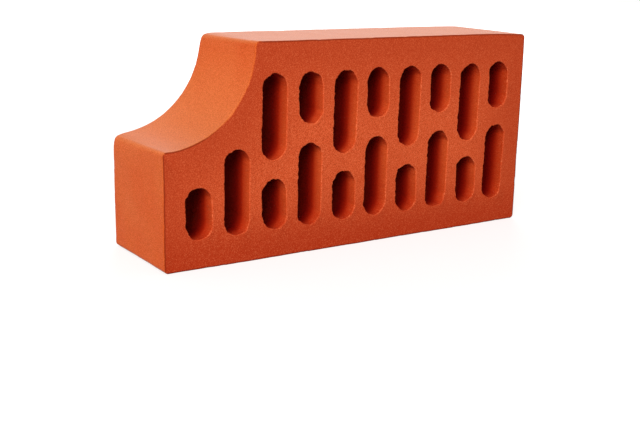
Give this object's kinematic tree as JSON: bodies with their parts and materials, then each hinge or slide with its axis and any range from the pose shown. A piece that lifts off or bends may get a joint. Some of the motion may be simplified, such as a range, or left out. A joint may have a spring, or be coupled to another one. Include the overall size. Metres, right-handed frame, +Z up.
{
  "type": "coved facing brick",
  "caption": "Single-format perforated clay facing brick with a quarter-round cove in place of one corner, standing on its long side.",
  "frame": {"origin": "middle of the long side face that the brick stands on", "axes": "+X along the length, away from the coved end; +Y through the thickness, the way the slots run; +Z up the width of the bed, towards the moulded side"},
  "size_m": [0.25, 0.065, 0.12],
  "materials": {
    "fired_clay": "matte"
  },
  "bodies": {
    "root": {"brick": "fired_clay"}
  },
  "joints": []
}
